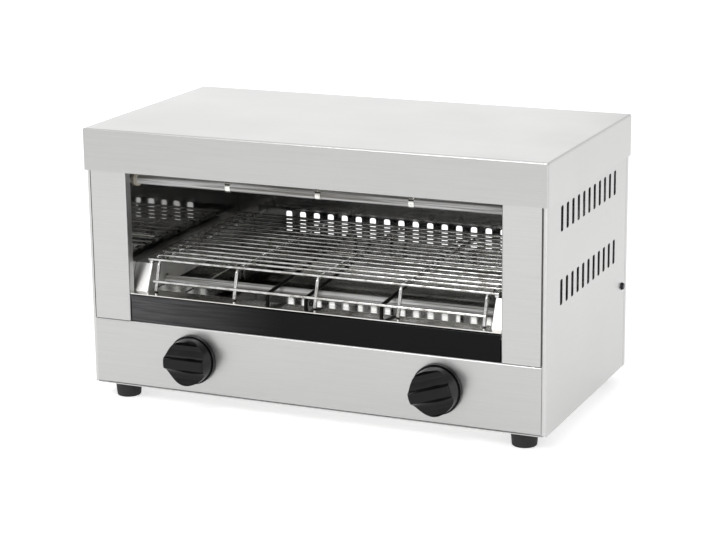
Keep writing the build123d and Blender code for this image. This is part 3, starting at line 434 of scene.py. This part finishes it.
# %% Quartz
STREAK_LENGTH = 120 * MM
STREAK_WIDTH = 2.0 * MM
WHITE_BELOW = 0.42  # where the noise is under this, the quartz is white
GREY_ABOVE = 0.62
QUARTZ_ROUGHNESS = (0.08, 0.22)
quartz, tree, shader = surface("milky_quartz", "#e9e8e2", IOR=1.46, Transmission_Weight=0.15)
place = add(tree, "ShaderNodeTexCoord").outputs["Object"]
drawn = add(tree, "ShaderNodeMapping", {"Scale": (1 / STREAK_LENGTH, 1 / STREAK_WIDTH, 1 / STREAK_WIDTH)},
            {"Vector": place})
streaks = add(tree, "ShaderNodeTexNoise", {"Scale": 1.0, "Detail": 3.0},
              {"Vector": drawn.outputs["Vector"]})
density = add(tree, "ShaderNodeMapRange", {"From Min": WHITE_BELOW, "From Max": GREY_ABOVE},
              {"Value": streaks.outputs["Fac"]})
milk = add(tree, "ShaderNodeMix", {"A": linear("#ffffff"), "B": linear("#8e8b85")},
           {"Factor": density.outputs["Result"]}, data_type="RGBA")
tree.links.new(milk.outputs[2], shader.inputs["Base Color"])
gloss = add(tree, "ShaderNodeMapRange",
            {"From Min": NOISE_LOW, "From Max": NOISE_HIGH,
             "To Min": QUARTZ_ROUGHNESS[0], "To Max": QUARTZ_ROUGHNESS[1]},
            {"Value": streaks.outputs["Fac"]})
tree.links.new(gloss.outputs["Result"], shader.inputs["Roughness"])
wear(quartz, "upper_tube_front", "upper_tube_rear", "lower_tube_front", "lower_tube_rear")

# %% [markdown]
# ## The coil
# Inside each tube lies a wound coil of resistance wire, dark grey from its first heating. The
# drawing keeps it as a plain rod, because it is hardly seen through the milky quartz. A wave along
# the rod gives it its turns.

# %% Resistance wire
COIL_PITCH = 2.2 * MM
TURN_DEPTH = 0.5 * MM
coil_wire, tree, shader = surface("wound_resistance_wire", "#6b6460", Metallic=1.0, Roughness=0.5)
place = add(tree, "ShaderNodeTexCoord").outputs["Object"]
turns = add(tree, "ShaderNodeTexWave", {"Scale": wave_scale(COIL_PITCH)}, {"Vector": place},
            bands_direction="X")
wound = add(tree, "ShaderNodeMix", {"A": linear("#2b2725"), "B": linear("#857c74")},
            {"Factor": turns.outputs["Fac"]}, data_type="RGBA")
tree.links.new(wound.outputs[2], shader.inputs["Base Color"])
relief = add(tree, "ShaderNodeBump", {"Strength": 0.8, "Distance": TURN_DEPTH},
             {"Height": turns.outputs["Fac"]})
tree.links.new(relief.outputs["Normal"], shader.inputs["Normal"])
wear(coil_wire, "heating_coils")

# %% [markdown]
# ## Mouldings, rubber and ceramic
# Pressed and moulded parts differ mainly in their grain. Phenolic knobs leave a polished mould, so
# they are glossy with a faint waviness. Housings are matt with a fine texture. Rubber is matt and
# dusty. Steatite caps are fired and left unglazed, so they are chalky with a warm speckle. One
# recipe draws all of them: two close tones, a roughness band and a grain of its own size.

# %% Moulded and fired finishes
MOULD_GRAIN_DEPTH = 0.1 * MM


def moulded(name, tone, second, patch, rough, grain, bump, **values):
    """A moulded or fired surface. The patch and the grain are sizes in millimetres."""
    material, tree, shader = surface(name, tone, **values)
    place = add(tree, "ShaderNodeTexCoord").outputs["Object"]
    patches = add(tree, "ShaderNodeTexNoise", {"Scale": 1 / (patch * MM), "Detail": 5.0}, {"Vector": place})
    blend = add(tree, "ShaderNodeMapRange", {"From Min": PATCH_LOW, "From Max": PATCH_HIGH},
                {"Value": patches.outputs["Fac"]})
    color = add(tree, "ShaderNodeMix", {"A": linear(tone), "B": linear(second)},
                {"Factor": blend.outputs["Result"]}, data_type="RGBA")
    tree.links.new(color.outputs[2], shader.inputs["Base Color"])
    matt = add(tree, "ShaderNodeMapRange", {"To Min": rough[0], "To Max": rough[1]},
               {"Value": blend.outputs["Result"]})
    tree.links.new(matt.outputs["Result"], shader.inputs["Roughness"])
    texture = add(tree, "ShaderNodeTexNoise", {"Scale": 1 / (grain * MM), "Detail": 3.0}, {"Vector": place})
    relief = add(tree, "ShaderNodeBump", {"Strength": bump, "Distance": MOULD_GRAIN_DEPTH},
                 {"Height": texture.outputs["Fac"]})
    tree.links.new(relief.outputs["Normal"], shader.inputs["Normal"])
    return material


wear(moulded("glossy_black_phenolic", "#080808", "#121212", 12, (0.1, 0.18), 4.0, 0.06,
             IOR=1.5, Specular_IOR_Level=0.22), "selector_knob", "timer_knob")
wear(moulded("matt_black_housing", "#1b1b1c", "#262627", 10, (0.45, 0.6), 0.6, 0.3),
     "selector_switch", "timer")
wear(moulded("pale_terminal_housing", "#dcdbd3", "#cfcdc2", 8, (0.4, 0.55), 0.6, 0.2), "terminal_block")
wear(moulded("black_rubber", "#121212", "#1f1f1e", 9, (0.55, 0.75), 0.7, 0.4),
     "foot_front_left", "foot_front_right", "foot_rear_left", "foot_rear_right", "cable_grommet")
wear(moulded("fired_steatite", "#e8e3d8", "#d3c9b6", 3, (0.55, 0.75), 0.5, 0.35),
     "upper_tube_front_caps", "upper_tube_rear_caps", "lower_tube_front_caps", "lower_tube_rear_caps")

# %% [markdown]
# ## A paper floor
# Catalogue pictures of metal are taken on a wide sheet of white paper. The paper takes the shadow
# of the toaster. Lit so plainly it would come out grey, and more light would burn out the metal, so
# it has a little light of its own, which only the camera and reflections see, and which lifts it to
# white.

# %% Floor
FLOOR_SIZE = 30
FLOOR_LIFT = 0.42
CAMERA_LIFT = 0.54
bpy.ops.object.select_all(action="DESELECT")
bpy.ops.mesh.primitive_plane_add(size=1, location=(0, 0, 0))
floor = bpy.context.object
floor.name = "studio_floor"
bpy.ops.object.mode_set(mode="EDIT")
bpy.ops.mesh.select_all(action="SELECT")
bpy.ops.transform.resize(value=(FLOOR_SIZE, FLOOR_SIZE, 1))
bpy.ops.object.mode_set(mode="OBJECT")
paper, tree, shader = surface("studio_paper", "#fbfbfb", Roughness=0.9, Specular_IOR_Level=0.1,
                              Emission_Color=(1, 1, 1, 1))
ray = add(tree, "ShaderNodeLightPath")
mirrored = add(tree, "ShaderNodeMath", operation="MAXIMUM",
               links={0: ray.outputs["Is Glossy Ray"], 1: ray.outputs["Is Transmission Ray"]})
in_mirrors = add(tree, "ShaderNodeMath", {1: FLOOR_LIFT}, {0: mirrored.outputs[0]}, operation="MULTIPLY")
direct = add(tree, "ShaderNodeMath", {1: CAMERA_LIFT}, {0: ray.outputs["Is Camera Ray"]},
             operation="MULTIPLY")
lift = add(tree, "ShaderNodeMath", links={0: in_mirrors.outputs[0], 1: direct.outputs[0]},
           operation="MAXIMUM")
tree.links.new(lift.outputs[0], shader.inputs["Emission Strength"])
floor.data.materials.append(paper)
print("paper", FLOOR_SIZE, "m square, lifted by", CAMERA_LIFT, "and in mirrors by", FLOOR_LIFT)

# %% [markdown]
# ## The white tent
# Bright metal shows the walls round it more than the lamps, so it is photographed in a white tent.
# The world is that tent: white where it is seen, directly or in a reflection, and softer where it
# only lights. The tent has one small opening, low at the front right, where the camera looks in
# from a darker room. It never shows behind the toaster, only on it, and it keeps the left half of
# the oven dark.

# %% World
TENT_LIGHT = 0.6
OPENING = Vector((0.39, -0.885, 0.22)).normalized()
OPENING_CORE = math.radians(10)
OPENING_EDGE = math.radians(23)
DARK_ROOM = 0.12
world = bpy.data.worlds.new("white_tent")
bpy.context.scene.world = world
world.use_nodes = True
tree = world.node_tree
tree.nodes.clear()
ray = add(tree, "ShaderNodeLightPath")
viewed = add(tree, "ShaderNodeMath", operation="MAXIMUM",
             links={0: ray.outputs["Is Camera Ray"], 1: ray.outputs["Is Glossy Ray"]})
seen = add(tree, "ShaderNodeMath", operation="MAXIMUM",
           links={0: viewed.outputs[0], 1: ray.outputs["Is Transmission Ray"]})
wall = add(tree, "ShaderNodeMapRange", {"To Min": TENT_LIGHT, "To Max": 1.0}, {"Value": seen.outputs[0]})
sky = add(tree, "ShaderNodeTexCoord").outputs["Generated"]
toward = add(tree, "ShaderNodeVectorMath", {1: OPENING}, {0: sky}, operation="DOT_PRODUCT")
gap = add(tree, "ShaderNodeMapRange",
          {"From Min": math.cos(OPENING_EDGE), "From Max": math.cos(OPENING_CORE)},
          {"Value": toward.outputs["Value"]}, interpolation_type="SMOOTHSTEP")
unseen = add(tree, "ShaderNodeMath", {0: 1.0}, {1: ray.outputs["Is Camera Ray"]}, operation="SUBTRACT")
open_gap = add(tree, "ShaderNodeMath", links={0: gap.outputs["Result"], 1: unseen.outputs[0]},
               operation="MULTIPLY")
dimmed = add(tree, "ShaderNodeMapRange", {"To Min": 1.0, "To Max": DARK_ROOM},
             {"Value": open_gap.outputs[0]})
strength = add(tree, "ShaderNodeMath", operation="MULTIPLY",
               links={0: wall.outputs["Result"], 1: dimmed.outputs["Result"]})
tent = add(tree, "ShaderNodeBackground", {"Color": (1, 1, 1, 1)}, {"Strength": strength.outputs[0]})
add(tree, "ShaderNodeOutputWorld", links={"Surface": tent.outputs["Background"]})
print("the tent lights at", TENT_LIGHT, "and opens toward", [round(c, 2) for c in OPENING])

# %% [markdown]
# ## Four soft boxes
# A large one hangs over the toaster. A smaller one stands in front, high and a little to the left,
# and draws the bright lines along the folds and the gleams on the knobs. A low one at the front
# right shines under the hood, onto the tubes and the fence of the rack, which the high one can't
# reach. The fourth stands behind the toaster and is mirrored by the top of the hood, which is why
# the top is the brightest sheet of all.

# %% Lamps
def softbox(name, place, target, size, watts):
    """A square area lamp that faces a point."""
    lamp = bpy.data.lights.new(name, "AREA")
    lamp.size = size
    lamp.energy = watts
    box = bpy.data.objects.new(name, lamp)
    bpy.context.scene.collection.objects.link(box)
    box.location = place
    box.rotation_euler = (Vector(target) - Vector(place)).to_track_quat("-Z", "Y").to_euler()
    print(name, watts, "W over", size, "m")


softbox("top_box", (-0.3, -0.3, 2.0), (0, 0, 0.15), 1.6, 5)
softbox("front_box", (-0.5, -1.8, 1.6), (0, 0, 0.15), 0.7, 12)
softbox("low_box", (1.1, -1.6, 0.3), (0, 0, 0.16), 0.6, 3)
softbox("rear_box", (-1.1, 2.2, 1.0), (0, 0, 0.25), 1.4, 3)

# %% [markdown]
# ## Finish
# The picture is shown in the Standard view transform.

# %% Finish
bpy.context.scene.view_settings.view_transform = "Standard"
